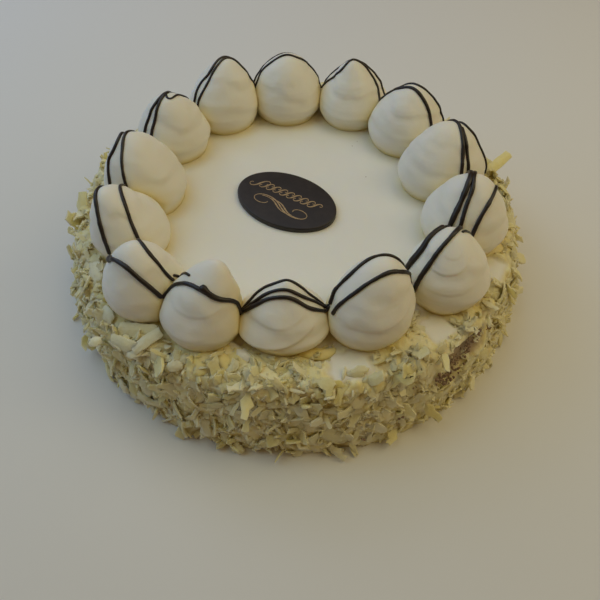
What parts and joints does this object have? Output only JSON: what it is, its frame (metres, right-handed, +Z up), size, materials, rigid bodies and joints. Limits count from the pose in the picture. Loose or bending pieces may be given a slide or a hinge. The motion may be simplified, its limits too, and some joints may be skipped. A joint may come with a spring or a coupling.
{
  "type": "cream cake",
  "caption": "Low round cake coated in white chocolate shavings, with a ring of piped cream peaks striped with dark chocolate and an oval chocolate plaque on top.",
  "frame": {"origin": "centre of the cake's flat underside, at the height of the surface that it stands on", "axes": "+Z up, +Y from the side that faces the viewer towards the far side of the cake, +X to the viewer's right"},
  "size_m": [0.2431, 0.2411, 0.0748],
  "materials": {
    "shavings": "matte",
    "cream": "satin",
    "chocolate": "satin"
  },
  "bodies": {
    "root": {"cake_body": "shavings", "cream_peak_01": "cream", "cream_peak_02": "cream", "cream_peak_03": "cream", "cream_peak_04": "cream", "cream_peak_05": "cream", "cream_peak_06": "cream", "cream_peak_07": "cream", "cream_peak_08": "cream", "cream_peak_09": "cream", "cream_peak_10": "cream", "cream_peak_11": "cream", "cream_peak_12": "cream", "cream_peak_13": "cream", "cream_peak_14": "cream", "chocolate_plaque": "chocolate"}
  },
  "joints": []
}
